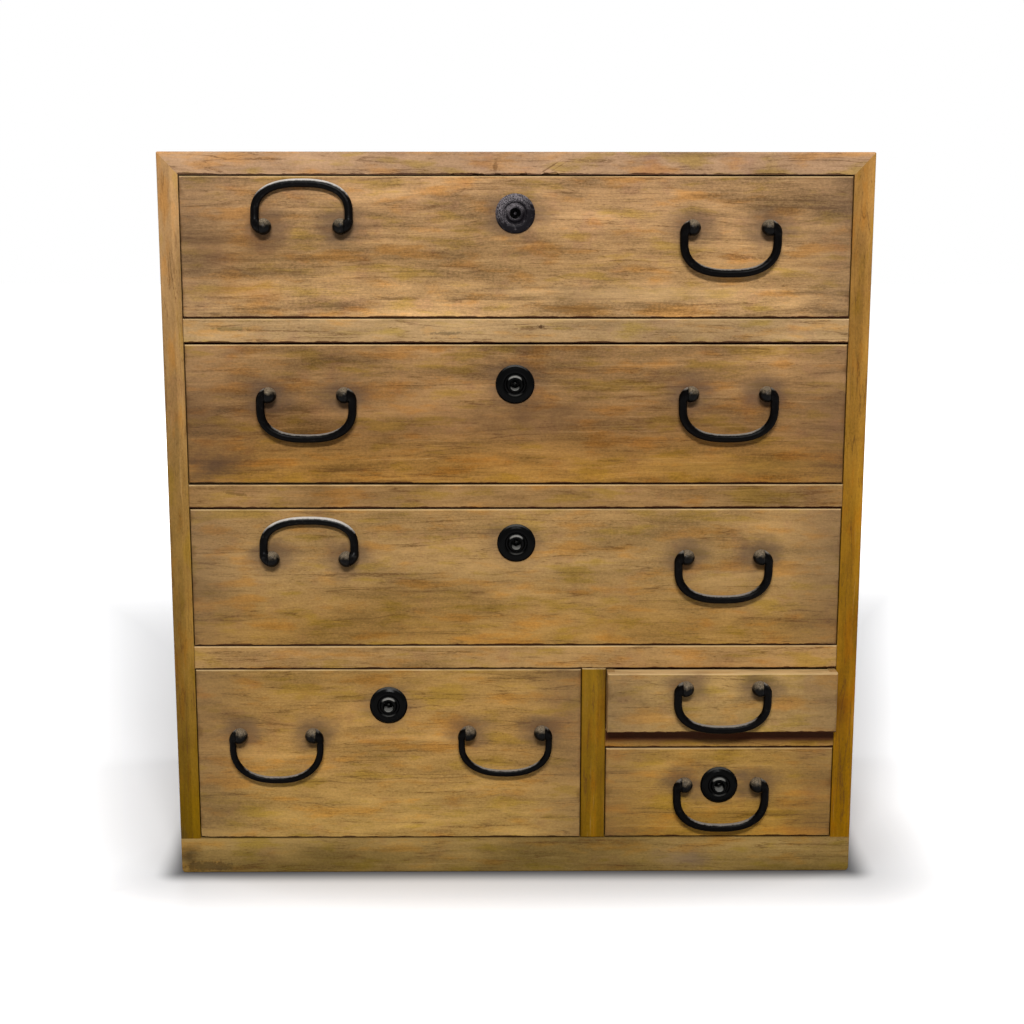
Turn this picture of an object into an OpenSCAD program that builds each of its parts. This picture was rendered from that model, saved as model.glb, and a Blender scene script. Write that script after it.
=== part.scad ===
// Chest of drawers with six drawers, iron bail handles and round keyhole plates.
// Millimetres. Origin at the middle of the footprint, +Z up, drawers open towards -Y.

/* [Case] */
// Width of the case
case_w = 750; // [690:5:900]
// Depth of the case, front to back
case_d = 400; // [340:5:480]
// Thickness of the two side boards
side_t = 22; // [18:0.5:26]
// Thickness of the top board
top_t = 23.5; // [20:0.5:30]
// Height of the base rail
base_h = 40.5; // [34:0.5:60]
// Height of the three long front rails
rail_h = 25.5; // [20:0.5:34]
// Depth of every front rail, front to back
rail_d = 32; // [28:1:44]
// Thickness of the dust boards behind the rails
dust_t = 10; // [7:0.5:12]
// Thickness of the bottom board
bottom_t = 12; // [9:0.5:16]
// Thickness of the back boards
back_t = 10; // [7:0.5:12]
// Number of boards side by side in the back
back_count = 4; // [3:1:6]
// Width of the bearer under the bottom board
bearer_w = 40; // [25:1:60]
// Depth of the mitred part of the top corners, behind the front
mitre_d = 25; // [15:1:40]
// Number of fingers and sockets in a top corner, an odd number
finger_count = 11; // [7:2:15]
// Rounding of the outer edges of the case
case_ease = 2; // [1:0.5:4]
// Rounding of the two worn corners at the foot of the front
foot_round = 6; // [3:0.5:9]

/* [Drawers] */
// Height of the opening for drawer 1, at the top
row_1_h = 150; // [130:1:180]
// Height of the opening for drawer 2
row_2_h = 153; // [130:1:180]
// Height of the opening for drawer 3
row_3_h = 154.5; // [130:0.5:180]
// Height of the lowest row, drawer 4 and the two small drawers
row_4_h = 197; // [185:1:230]
// Height of the opening for drawer 5, the upper small drawer
small_h = 70; // [66:1:80]
// Height of the short rail between the two small drawers
small_rail_h = 21; // [18:0.5:26]
// Width of the opening for drawer 4, at the lower left
left_w = 425.5; // [380:0.5:440]
// Width of the divider between the lower drawers
divider_w = 26.5; // [22:0.5:32]
// Thickness of a drawer front
front_t = 18; // [16:0.5:22]
// Thickness of the lip of a drawer front that covers its sides and bottom
front_lip = 7; // [5:0.5:8]
// Thickness of drawer sides and backs
wall_t = 8.5; // [7:0.5:11]
// Thickness of drawer bottoms
floor_t = 6; // [5:0.5:8]
// Rounding of the edges of drawer fronts and rails
front_ease = 1.6; // [0.6:0.2:2]
// Gap above each drawer front
gap_top = 1.4; // [1:0.1:2.2]
// Gap under each drawer front
gap_bottom = 1.2; // [0.8:0.1:1.8]
// Gap at each end of a drawer front
gap_side = 0.9; // [0.6:0.1:1.5]
// Distance by which drawer 5 stands out of its opening
drawer_5_pull = 17; // [0:1:40]

/* [Handles] */
// Distance between the two posts of a handle
post_pitch = 80.8; // [74:0.4:90]
// Diameter of the round head of a post
head_d = 17.6; // [16:0.2:18.4]
// Distance from the head's middle to the flat filed on its outer side
head_flat = 3.2; // [2.6:0.1:4]
// Distance from the drawer front to the pivot
standoff = 9.6; // [9.4:0.1:12]
// Diameter of the pin turned in at each end of a bail
pin_d = 4.4; // [3.6:0.2:5]
// Length of the pin inside the head
pin_l = 7; // [5:0.5:9]
// Drop of a common bail, from the pivot to the middle of the grip
bail_drop = 47; // [45:0.5:49]
// Thickness of a bail at the middle of the grip
grip_d = 9.4; // [8:0.2:10.4]
// Thickness of the arms of a bail
arm_d = 9.4; // [8:0.2:10.4]
// Thickness of the slimmer bails of drawer 4 at the grip
slim_grip_d = 8; // [7:0.2:9]
// Thickness of their arms
slim_arm_d = 7.6; // [6.6:0.2:9]
// Diameter of a post's shank
shank_d = 5; // [4:0.2:5.4]
// Distance from the side of a wide opening to the middle of a handle
handle_inset = 128.5; // [100:0.5:150]
// The same distance for the handles of drawer 4
low_handle_inset = 86.6; // [80:0.2:105]

/* [Locks] */
// Diameter of the keyhole plate
plate_d = 41.5; // [36:0.5:46]
// Diameter of the keyhole
keyhole_d = 11.5; // [9:0.5:12]
// Diameter of the pin in the middle of the keyhole
key_pin_d = 2.6; // [2:0.2:3]
// Width of the lock case
lock_w = 44; // [38:1:50]
// Thickness of the lock case
lock_t = 10; // [9:0.2:10.6]
// Width of the bolt
bolt_w = 24; // [18:1:30]
// Thickness of the bolt
bolt_t = 4; // [3:0.2:4.6]
// Height by which the bolt rises
bolt_throw = 8; // [6:0.5:9]

/* [Hidden] */
$fn = 48;

// Colours of the woods and metals
OLD_WOOD = [0.60, 0.45, 0.27];
END_WOOD = [0.52, 0.40, 0.25];
PALE_WOOD = [0.76, 0.64, 0.46];
BLACK_IRON = [0.08, 0.08, 0.08];
GREY_IRON = [0.22, 0.22, 0.23];

// Small clearances: glued joints, sliding drawers, pivots, bolts
joint_fit = 0.1;
slide_fit = 0.3;
pivot_fit = 0.05;
eye_gap = 0.3;
bolt_fit = 0.2;
bolt_slack = 0.5;
lean_gap = 0.3;
blind_end = 0.6;

// Joinery of the case
tenon_l = 9;
tenon_shoulder = 5;
housing = 6;
lap = 8;
foot_tenon_l = 14;
rebate = 8;
top_rebate = 12;
back_foot = 12;
board_gap = 0.5;

// Joinery of the drawers
drawer_back_gap = 1;
slot_pitch = 30;

// Levels from the floor to the top, and the case's own limits
left_x = -case_w / 2;
front_y = -case_d / 2;
row_4_top = base_h + row_4_h;
row_3_low = row_4_top + rail_h;
row_3_top = row_3_low + row_3_h;
row_2_low = row_3_top + rail_h;
row_2_top = row_2_low + row_2_h;
row_1_low = row_2_top + rail_h;
row_1_top = row_1_low + row_1_h;
case_h = row_1_top + top_t;
bay = [left_x + side_t, -left_x - side_t];
divider_x = [bay[0] + left_w, bay[0] + left_w + divider_w];
small_bay = [divider_x[1], bay[1]];
small_low = row_4_top - small_h;
rail_y = [front_y, front_y + rail_d];
board_y = [front_y + rail_d - lap, case_d / 2 - back_t];

// Openings of the six drawers: left, right, low, high
OPENINGS = [
    [bay[0], bay[1], row_1_low, row_1_top],
    [bay[0], bay[1], row_2_low, row_2_top],
    [bay[0], bay[1], row_3_low, row_3_top],
    [bay[0], divider_x[0], base_h, row_4_top],
    [small_bay[0], small_bay[1], small_low, row_4_top],
    [small_bay[0], small_bay[1], base_h, small_low - small_rail_h]
];

// Drop of the handles and locks from the top of each opening; 0 means no lock
HANDLE_DROP = [53.6, 54.2, 53.6, 72.6, 15.9, 41];
LOCK_DROP = [39.8, 43.9, 38.4, 41.4, 0, 43.7];

// Fronts planed by hand leave this much more room, above and below
GAP_STRAY = [[0, 0], [0.4, 0.3], [0, 0], [-0.3, -0.2], [0.2, 0], [0, 0]];

// Lower edges of fronts worn away towards the left end: drawer, length, height
WORN = [[1, 380, 1.6], [3, 26, 2.4]];

// Chips out of the top board's lower edge: middle, width, height
CHIPS = [[-67, 4, 1.2], [-40, 14, 1.8], [-20, 8, 1.4], [7, 9, 2.8], [35, 20, 3.6]];
chip_depth = 5;

// Handles set by hand stray a little: across and up, left and right on each drawer
STRAY = [
    [[0.5, 0.4], [-0.6, -0.5]],
    [[1.2, -0.5], [1.4, 0.5]],
    [[0.7, -0.7], [0.1, 0.8]],
    [[2.4, -1.2], [2.1, 1.3]],
    [[-0.9, 0], [0, 0]],
    [[1.7, 0], [0, 0]]
];

// Locks stray across
LOCK_STRAY = [-1.5, -1.5, 0, -0.3, 0, 0.4];

// Bails forged by hand differ in drop, by this much
DROP_STRAY = [[-2, 0.3], [-0.6, 0.4], [-5.2, 0], [3.9, -0.8], [-0.8, 0], [3, 0]];

// Bails that are flipped up and lean on the drawer front
FLIPPED = [[true, false], [false, false], [true, false], [false, false], [false, false], [false, false]];

function middle(n) = (OPENINGS[n][0] + OPENINGS[n][1]) / 2;
function pull(n) = n == 4 ? drawer_5_pull : 0;
function inset(n) = n == 3 ? low_handle_inset : handle_inset;
function handle_count(n) = n < 4 ? 2 : 1;
function handle_x(n, k) = STRAY[n][k][0] + (handle_count(n) == 1 ? middle(n)
    : k == 0 ? OPENINGS[n][0] + inset(n) : OPENINGS[n][1] - inset(n));
function handle_z(n, k) = OPENINGS[n][3] - HANDLE_DROP[n] + STRAY[n][k][1];
function lock_x(n) = middle(n) + LOCK_STRAY[n];
function lock_z(n) = OPENINGS[n][3] - LOCK_DROP[n];
function arc(centre, r, from, to, steps = 4) =
    [for (i = [0 : steps]) let (turn = from + (to - from) * i / steps) centre + r * [cos(turn), sin(turn)]];

// A block from three ranges
module block(x, y, z) {
    translate([x[0], y[0], z[0]]) cube([x[1] - x[0], y[1] - y[0], z[1] - z[0]]);
}

// A flat outline in X and Y, raised from z[0] to z[1]
module upright(z) {
    translate([0, 0, z[0]]) linear_extrude(z[1] - z[0]) children();
}

// A flat outline in X and Z, run from y[0] to y[1]
module front_to_back(y) {
    translate([0, y[1], 0]) rotate([90, 0, 0]) linear_extrude(y[1] - y[0]) children();
}

// A flat outline whose X becomes height, run from x[0] to x[1]
module sideways(x) {
    translate([x[1], 0, 0]) rotate([0, -90, 0]) linear_extrude(x[1] - x[0]) children();
}

// A rectangle from a[0] to a[1] whose two corners at b[0] are rounded
module eased(a, b, r) {
    polygon(concat(
        [[a[0], b[1]]],
        arc([a[0] + r, b[0] + r], r, 180, 270),
        arc([a[1] - r, b[0] + r], r, 270, 360),
        [[a[1], b[1]]]
    ));
}

// A board with its four front edges rounded
module eased_board(x, y, z, r) {
    intersection() {
        upright(z) eased(x, y, r);
        sideways(x) eased(z, y, r);
    }
}

// The outside of the case, with eased edges and worn feet
module envelope() {
    intersection() {
        upright([0, case_h]) eased([left_x, -left_x], [front_y, case_d / 2], case_ease);
        sideways([left_x, -left_x]) eased([0, case_h], [front_y, case_d / 2], case_ease);
        front_to_back([front_y, case_d / 2]) polygon(concat(
            arc([left_x + foot_round, foot_round], foot_round, 180, 270),
            arc([-left_x - foot_round, foot_round], foot_round, 270, 360),
            arc([-left_x - case_ease, case_h - case_ease], case_ease, 0, 90),
            arc([left_x + case_ease, case_h - case_ease], case_ease, 90, 180)
        ));
    }
}

// Room for the back boards, in the sides and the top
module back_rebate() {
    block([bay[0] - rebate - joint_fit, bay[1] + rebate + joint_fit],
        [case_d / 2 - back_t, case_d / 2 + 1], [-1, row_1_top + top_rebate + joint_fit]);
}

// The left side's share of the top corner: a mitre at the front, then fingers
module corner_share() {
    step = (case_d - mitre_d) / finger_count;
    front_to_back([front_y, front_y + mitre_d])
        polygon([[left_x, case_h], [left_x, row_1_top], [left_x + side_t, row_1_top]]);
    for (i = [0 : 2 : finger_count - 1])
        block([left_x, left_x + side_t],
            [front_y + mitre_d + i * step, front_y + mitre_d + (i + 1) * step], [row_1_top, case_h]);
}

// A chip broken out of the top board's lower edge, shallower higher up
module chip(x, w, h) {
    intersection() {
        front_to_back([front_y - 1, front_y + chip_depth]) polygon([
            [x - w / 2, row_1_top - 1], [x + w / 2, row_1_top - 1], [x + w / 2, row_1_top],
            [x + w * 0.3, row_1_top + h], [x, row_1_top + h * 0.6], [x - w * 0.3, row_1_top + h * 0.7],
            [x - w / 2, row_1_top]
        ]);
        sideways([x - w / 2, x + w / 2]) polygon([
            [row_1_top - 1, front_y - 1], [row_1_top + h + 1, front_y - 1],
            [row_1_top - 1, front_y + chip_depth]
        ]);
    }
}

module top_board() {
    color(OLD_WOOD) difference() {
        intersection() {
            block([left_x, -left_x], [front_y, case_d / 2], [row_1_top, case_h]);
            envelope();
        }
        corner_share();
        mirror([1, 0, 0]) corner_share();
        back_rebate();
        bolt_mortise(0);
        for (at = CHIPS) chip(at[0], at[1], at[2]);
    }
}

// Stub tenons of a front rail, or their mortises when grown
module rail_tenons(x, z, grow = 0) {
    for (end = [[x[0] - tenon_l, x[0]], [x[1], x[1] + tenon_l]])
        block([end[0] - grow, end[1] + grow],
            [rail_y[0] + tenon_shoulder - grow, rail_y[1] - lap - tenon_shoulder + grow],
            [z[0] + tenon_shoulder - grow, z[1] - tenon_shoulder + grow]);
}

// Ends of a dust board let into the boards beside it, or their housings when grown
module board_ends(x, z, grow = 0) {
    block([x[0] - housing - grow, x[1] + housing + grow],
        [board_y[0] - grow, board_y[1] + 1], [z[0] - grow, z[1] + grow]);
}

// Heights of the long rails, the short rail and the boards behind them
LONG_RAILS = [[row_4_top, row_3_low], [row_3_top, row_2_low], [row_2_top, row_1_low]];
SHORT_RAIL = [small_low - small_rail_h, small_low];

// Cuts in both side boards for rails, dust boards and the bottom board
module side_cuts() {
    for (z = LONG_RAILS) {
        rail_tenons(bay, z, joint_fit);
        board_ends(bay, [z[1] - dust_t, z[1]], joint_fit);
    }
    board_ends(bay, [base_h - bottom_t, base_h], joint_fit);
    rail_tenons(small_bay, SHORT_RAIL, joint_fit);
    board_ends(small_bay, [small_low - dust_t, small_low], joint_fit);
}

// Stub tenon at the foot of the left side, standing in the base rail
module foot_tenon(grow = 0) {
    block([left_x + tenon_shoulder - grow, left_x + side_t - tenon_shoulder + grow],
        [rail_y[0] + tenon_shoulder - grow, rail_y[1] - lap - tenon_shoulder + grow],
        [base_h - foot_tenon_l - grow, base_h + grow]);
}

module side_blank() {
    difference() {
        union() {
            block([left_x, left_x + side_t], [front_y, case_d / 2], [0, row_1_top]);
            corner_share();
        }
        difference() {
            block([left_x - 1, left_x + side_t + 1], [rail_y[0] - 1, rail_y[1]], [-1, base_h]);
            foot_tenon();
        }
    }
}

module left_side() {
    color(OLD_WOOD) difference() {
        intersection() {
            side_blank();
            envelope();
        }
        side_cuts();
        back_rebate();
    }
}

module right_side() {
    color(OLD_WOOD) difference() {
        intersection() {
            mirror([1, 0, 0]) side_blank();
            envelope();
        }
        side_cuts();
        back_rebate();
    }
}

// Tenons at the foot and the top of the divider's front
module divider_tenons(grow = 0) {
    block([divider_x[0] + tenon_shoulder - grow, divider_x[1] - tenon_shoulder + grow],
        [rail_y[0] + tenon_shoulder - grow, rail_y[1] - lap - tenon_shoulder + grow],
        [base_h - tenon_l - grow, row_4_top + tenon_l + grow]);
}

module base_rail() {
    color(END_WOOD) difference() {
        intersection() {
            block([left_x, -left_x], rail_y, [0, base_h]);
            envelope();
        }
        board_ends([bay[0] + housing, bay[1] - housing], [base_h - bottom_t, base_h + 1]);
        foot_tenon(joint_fit);
        mirror([1, 0, 0]) foot_tenon(joint_fit);
        divider_tenons(joint_fit);
    }
}

module bottom_board() {
    color(PALE_WOOD) difference() {
        block([bay[0] - housing, bay[1] + housing], board_y, [base_h - bottom_t, base_h]);
        for (x = [[bay[0] - housing - 1, bay[0]], [bay[1], bay[1] + housing + 1]])
            block(x, [board_y[0] - 1, rail_y[1]], [0, base_h + 1]);
    }
}

module bottom_bearer() {
    color(PALE_WOOD) block([-bearer_w / 2, bearer_w / 2], [rail_y[1], board_y[1]], [0, base_h - bottom_t]);
}

module back_boards() {
    whole = [bay[0] - rebate, bay[1] + rebate];
    step = (whole[1] - whole[0] + board_gap) / back_count;
    color(PALE_WOOD) for (i = [0 : back_count - 1])
        block([whole[0] + i * step, whole[0] + (i + 1) * step - board_gap],
            [case_d / 2 - back_t, case_d / 2], [back_foot, row_1_top + top_rebate]);
}

// Room for a raised bolt above drawer n
module bolt_mortise(n) {
    x = lock_x(n);
    y = front_y + bolt_y();
    block([x - bolt_w / 2 - bolt_slack, x + bolt_w / 2 + bolt_slack],
        [y - bolt_t / 2 - bolt_slack, y + bolt_t / 2 + bolt_slack],
        [OPENINGS[n][3] - 1, OPENINGS[n][3] + bolt_throw]);
}

// One front rail with its tenons, rebated behind for its dust board
module rail(x, z) {
    difference() {
        union() {
            eased_board(x, rail_y, z, front_ease);
            rail_tenons(x, z);
        }
        block([x[0] - 1, x[1] + 1], [board_y[0], rail_y[1] + 1], [z[1] - dust_t, z[1] + 1]);
    }
}

module front_rails() {
    color(OLD_WOOD) difference() {
        for (z = LONG_RAILS) rail(bay, z);
        for (n = [1, 2, 3]) bolt_mortise(n);
        divider_tenons(joint_fit);
    }
    color(OLD_WOOD) difference() {
        rail(small_bay, SHORT_RAIL);
        bolt_mortise(5);
    }
}

// One dust board, lying in its rail's rebate and in the housings beside it
module dust_board(x, top) {
    block([x[0] - housing, x[1] + housing], board_y, [top - dust_t, top]);
}

module dust_boards() {
    color(PALE_WOOD) for (z = LONG_RAILS) dust_board(bay, z[1]);
    color(PALE_WOOD) dust_board(small_bay, small_low);
}

module divider() {
    color(END_WOOD) difference() {
        union() {
            eased_board(divider_x, [rail_y[0], rail_y[1]], [base_h, row_4_top], front_ease);
            block(divider_x, [rail_y[1] - 1, board_y[1]], [base_h, row_4_top]);
            block(divider_x, [rail_y[1], board_y[1]], [row_4_top - 1, row_3_low - dust_t]);
            divider_tenons();
        }
        rail_tenons(small_bay, SHORT_RAIL, joint_fit);
        board_ends(small_bay, [small_low - dust_t, small_low], joint_fit);
    }
}

// Where the parts of drawer n lie
function front_x(n) = [OPENINGS[n][0] + gap_side, OPENINGS[n][1] - gap_side];
function front_z(n) = [
    OPENINGS[n][2] + gap_bottom + GAP_STRAY[n][1],
    OPENINGS[n][3] - gap_top - GAP_STRAY[n][0]
];
function floor_z(n) = [OPENINGS[n][2] + slide_fit, OPENINGS[n][2] + slide_fit + floor_t];
function wall_z(n) = [floor_z(n)[1], front_z(n)[1]];
drawer_y = [front_y + front_lip, board_y[1] - drawer_back_gap];

// Slices of the finger joint at the back corners of drawer n, an odd number of them
function slices(n) = 2 * floor((wall_z(n)[1] - wall_z(n)[0]) / slot_pitch / 2 + 0.5) + 1;
function slice_z(n, i) = wall_z(n)[0] + (wall_z(n)[1] - wall_z(n)[0]) * i / slices(n);

module drawer_front(n) {
    x = front_x(n);
    z = front_z(n);
    inner_y = front_y + front_t;
    color(OLD_WOOD) translate([0, -pull(n), 0]) difference() {
        eased_board(x, [front_y, inner_y], z, front_ease);
        for (end = [[x[0] - 1, x[0] + wall_t], [x[1] - wall_t, x[1] + 1]])
            block(end, [drawer_y[0], inner_y + 1], [z[0] - 1, z[1] + 1]);
        block([x[0] - 1, x[1] + 1], [drawer_y[0], inner_y + 1], [z[0] - 1, floor_z(n)[1]]);
        for (worn = WORN)
            if (worn[0] == n)
                front_to_back([front_y - 1, drawer_y[0]]) polygon([
                    [x[0] - 1, z[0] - 1], [x[0] + worn[1], z[0] - 1], [x[0] + worn[1], z[0]],
                    [x[0] - 1, z[0] + worn[2]]
                ]);
        for (k = [0 : handle_count(n) - 1], side = [-1, 1])
            translate([handle_x(n, k) + side * post_pitch / 2, front_y - 1, handle_z(n, k)])
                rotate([-90, 0, 0]) cylinder(d = shank_d + 2 * joint_fit, h = front_t + 2);
        if (LOCK_DROP[n] > 0) {
            block([lock_x(n) - lock_w / 2 - joint_fit, lock_x(n) + lock_w / 2 + joint_fit],
                [inner_y - lock_t, inner_y + 1], [lock_z(n) - lock_foot - joint_fit, z[1] + 1]);
            translate([lock_x(n), front_y - 1, lock_z(n)])
                rotate([-90, 0, 0]) cylinder(r = tube_r + joint_fit, h = front_t);
        }
    }
}

module drawer_sides(n) {
    x = front_x(n);
    color(PALE_WOOD) translate([0, -pull(n), 0]) difference() {
        for (wall = [[x[0], x[0] + wall_t], [x[1] - wall_t, x[1]]])
            block(wall, drawer_y, wall_z(n));
        for (i = [1 : 2 : slices(n) - 1])
            block([x[0] - 1, x[1] + 1],
                [drawer_y[1] - wall_t, drawer_y[1] + 1], [slice_z(n, i), slice_z(n, i + 1)]);
    }
}

module drawer_back(n) {
    x = front_x(n);
    thick = [drawer_y[1] - wall_t, drawer_y[1]];
    color(PALE_WOOD) translate([0, -pull(n), 0]) {
        block([x[0] + wall_t, x[1] - wall_t], thick, wall_z(n));
        for (i = [1 : 2 : slices(n) - 1])
            block(x, thick, [slice_z(n, i), slice_z(n, i + 1)]);
    }
}

module drawer_bottom(n) {
    color(PALE_WOOD) translate([0, -pull(n), 0]) block(front_x(n), drawer_y, floor_z(n));
}

// Post of a handle: a round head filed flat and bored on its outer side, with clinched legs.
// The head's middle is at the origin, the drawer front at y = standoff, the outer side at +X.
neck_d = 2 * head_flat - 0.4;
collar_d = 12;
collar_t = 1;
leg_l = 13;
leg_w = 3;
leg_t = 1.6;
module post() {
    difference() {
        union() {
            difference() {
                sphere(d = head_d);
                block([head_flat, head_d], [-head_d, head_d], [-head_d, head_d]);
            }
            rotate([-90, 0, 0]) cylinder(d = neck_d, h = standoff);
            translate([0, standoff - collar_t, 0])
                rotate([-90, 0, 0]) cylinder(d1 = neck_d, d2 = collar_d, h = collar_t);
            rotate([-90, 0, 0]) cylinder(d = shank_d, h = standoff + front_t + leg_t);
            block([-leg_w / 2, leg_w / 2], [standoff + front_t, standoff + front_t + leg_t], [-leg_l, leg_l]);
        }
        translate([head_flat - pin_l - blind_end, 0, 0])
            rotate([0, 90, 0]) cylinder(d = pin_d + 2 * pivot_fit, h = pin_l + blind_end + head_d);
    }
}

module drawer_posts(n) {
    color(BLACK_IRON) for (k = [0 : handle_count(n) - 1], side = [-1, 1])
        translate([handle_x(n, k), front_y - pull(n) - standoff, handle_z(n, k)])
            rotate([0, side < 0 ? 180 : 0, 0]) translate([post_pitch / 2, 0, 0]) post();
}

// Face of a bail's curled end, close to the flat on the head and as round as it
face_x = post_pitch / 2 + head_flat + eye_gap;
face_r = sqrt(pow(head_d / 2, 2) - pow(head_flat, 2)) - 0.1;

// The curl turns about a corner inside the arm, the arm runs straight to the bow
curl_edge = 0.3;
curl_swell = 1.4;
curl_steps = 6;
bow_top = 14;
bow_steps = 26;
bow_power = 2.5;
slim_power = 2.3;
ring_sides = 14;
pin_root = 3;

// Sizes of a bail: arm, grip, drop, and the power of its bow, which is squarer when larger
function bail_sizes(n, k) = n == 3
    ? [slim_arm_d, slim_grip_d, bail_drop + DROP_STRAY[n][k], slim_power]
    : [arm_d, grip_d, bail_drop + DROP_STRAY[n][k], bow_power];

// Rings of a bail from the right end to the left one: x, z, radius, and the way out of the bow
function curl_ring(side, f, b) = let (
    turn = 90 * f,
    span = b[0] + (2 * face_r - b[0]) * pow(f, curl_swell),
    reach = curl_edge + span / 2
) [
    side * (face_x + reach * cos(turn)), reach * sin(turn) - face_r - curl_edge,
    span / 2, side * cos(turn), sin(turn)
];
function bow_point(t, b) = [
    (face_x + curl_edge + b[0] / 2) * sign(cos(t)) * pow(abs(cos(t)), 2 / b[3]),
    -bow_top - (b[2] - bow_top) * pow(sin(t), 2 / b[3])
];
function bow_ring(i, b) = let (
    t = 180 * i / bow_steps,
    at = bow_point(t, b),
    run = bow_point(min(t + 2, 180), b) - bow_point(max(t - 2, 0), b),
    long = norm(run)
) [at[0], at[1], b[0] / 2 + (b[1] - b[0]) / 2 * pow(sin(t), 2), -run[1] / long, run[0] / long];
function bail_rings(b) = concat(
    [for (i = [curl_steps : -1 : 0]) curl_ring(1, i / curl_steps, b)],
    [for (i = [0 : bow_steps]) bow_ring(i, b)],
    [for (i = [0 : curl_steps]) curl_ring(-1, i / curl_steps, b)]
);

// The rod of a bail, one ring of points square to each place on its middle line
module bail_rod(b) {
    rings = bail_rings(b);
    last = len(rings) - 1;
    points = [for (ring = rings, j = [0 : ring_sides - 1]) let (
        turn = 360 * j / ring_sides,
        out = ring[2] * cos(turn)
    ) [ring[0] + out * ring[3], ring[2] * sin(turn), ring[1] + out * ring[4]]];
    walls = [for (i = [0 : last - 1], j = [0 : ring_sides - 1]) let (
        a = i * ring_sides + j,
        b = i * ring_sides + (j + 1) % ring_sides
    ) each [[a, b, a + ring_sides], [b, b + ring_sides, a + ring_sides]]];
    ends = [
        [for (j = [ring_sides - 1 : -1 : 0]) j],
        [for (j = [0 : ring_sides - 1]) last * ring_sides + j]
    ];
    polyhedron(points, concat(walls, ends));
}

// The pin turned in at the right end of a bail, rooted in its curl
module pin() {
    translate([face_x - eye_gap - pin_l, 0, 0])
        rotate([0, 90, 0]) cylinder(d = pin_d, h = pin_l + eye_gap + pin_root);
}

// A bail hanging from its pivot line at the origin
module bail(b) {
    bail_rod(b);
    pin();
    rotate([0, 0, 180]) pin();
}

module drawer_bail(n, k) {
    b = bail_sizes(n, k);
    lean = asin((standoff - b[1] / 2 - lean_gap) / b[2]);
    color(BLACK_IRON) translate([handle_x(n, k), front_y - pull(n) - standoff, handle_z(n, k)])
        rotate([FLIPPED[n][k] ? 180 - lean : 0, 0, 0]) bail(b);
}

// Lock: a keyhole plate with its key tube in front, and a case with a bolt behind
lock_foot = 16;
tube_wall = 1.2;
tube_r = keyhole_d / 2 + tube_wall;
plate_rim = 1.4;
dome_h = 4.6;
collar_h = 6.8;
lip_w = 2.6;
pin_stand = 1.6;
back_wall = 1.8;
bolt_rest = 0.5;
bolt_tail = 10;
function bolt_y() = front_t - back_wall - bolt_fit - bolt_t / 2;

module keyhole_plate() {
    r = plate_d / 2;
    key_r = keyhole_d / 2;
    lip_r = key_r + lip_w;
    rotate([90, 0, 0]) rotate_extrude() polygon(concat(
        [
            [key_r, lock_t - front_t], [tube_r, lock_t - front_t], [tube_r, 0], [r, 0], [r, plate_rim],
            [r * 0.92, plate_rim + 1.6], [r * 0.80, dome_h - 0.4], [r * 0.68, dome_h],
            [r * 0.60, dome_h - 0.3], [r * 0.54, dome_h - 1.4], [r * 0.47, dome_h - 1.2]
        ],
        arc([lip_r - 0.9, collar_h - 0.9], 0.9, 0, 90, 3),
        arc([key_r + 0.6, collar_h - 0.6], 0.6, 90, 180, 3)
    ));
}

module lock_case(n) {
    top = front_z(n)[1] - lock_z(n);
    bolt = front_y + bolt_y();
    channel = [bolt - bolt_t / 2 - bolt_fit, bolt + bolt_t / 2 + bolt_fit];
    difference() {
        block([-lock_w / 2, lock_w / 2],
            [front_y + front_t - lock_t, front_y + front_t], [-lock_foot, top]);
        block([-bolt_w / 2 - bolt_fit, bolt_w / 2 + bolt_fit], channel, [-bolt_tail - bolt_fit, top + 1]);
        translate([0, channel[0] + 0.1, 0]) rotate([90, 0, 0]) cylinder(d = keyhole_d, h = lock_t);
    }
    translate([0, channel[1] + 0.1, 0]) rotate([90, 0, 0])
        cylinder(d = key_pin_d, h = channel[1] + 0.1 - front_y + pin_stand);
}

module drawer_lock(n) {
    translate([lock_x(n), -pull(n), lock_z(n)]) {
        color(n == 0 ? GREY_IRON : BLACK_IRON) translate([0, front_y, 0]) keyhole_plate();
        color(GREY_IRON) lock_case(n);
    }
}

module drawer_bolt(n) {
    top = front_z(n)[1] - lock_z(n) - bolt_rest;
    bolt = front_y + bolt_y();
    slot = key_pin_d / 2 + 1;
    color(GREY_IRON) translate([lock_x(n), -pull(n), lock_z(n)]) difference() {
        block([-bolt_w / 2, bolt_w / 2], [bolt - bolt_t / 2, bolt + bolt_t / 2], [-bolt_tail, top]);
        block([-slot, slot], [bolt - bolt_t, bolt + bolt_t], [-bolt_tail - 1, slot + bolt_throw - 1]);
    }
}

top_board();
left_side();
right_side();
base_rail();
bottom_board();
bottom_bearer();
back_boards();
front_rails();
dust_boards();
divider();
drawer_front(0);  // drawer_1_front
drawer_sides(0);  // drawer_1_sides
drawer_back(0);  // drawer_1_back
drawer_bottom(0);  // drawer_1_bottom
drawer_posts(0);  // drawer_1_posts
drawer_front(1);  // drawer_2_front
drawer_sides(1);  // drawer_2_sides
drawer_back(1);  // drawer_2_back
drawer_bottom(1);  // drawer_2_bottom
drawer_posts(1);  // drawer_2_posts
drawer_front(2);  // drawer_3_front
drawer_sides(2);  // drawer_3_sides
drawer_back(2);  // drawer_3_back
drawer_bottom(2);  // drawer_3_bottom
drawer_posts(2);  // drawer_3_posts
drawer_front(3);  // drawer_4_front
drawer_sides(3);  // drawer_4_sides
drawer_back(3);  // drawer_4_back
drawer_bottom(3);  // drawer_4_bottom
drawer_posts(3);  // drawer_4_posts
drawer_front(4);  // drawer_5_front
drawer_sides(4);  // drawer_5_sides
drawer_back(4);  // drawer_5_back
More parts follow.
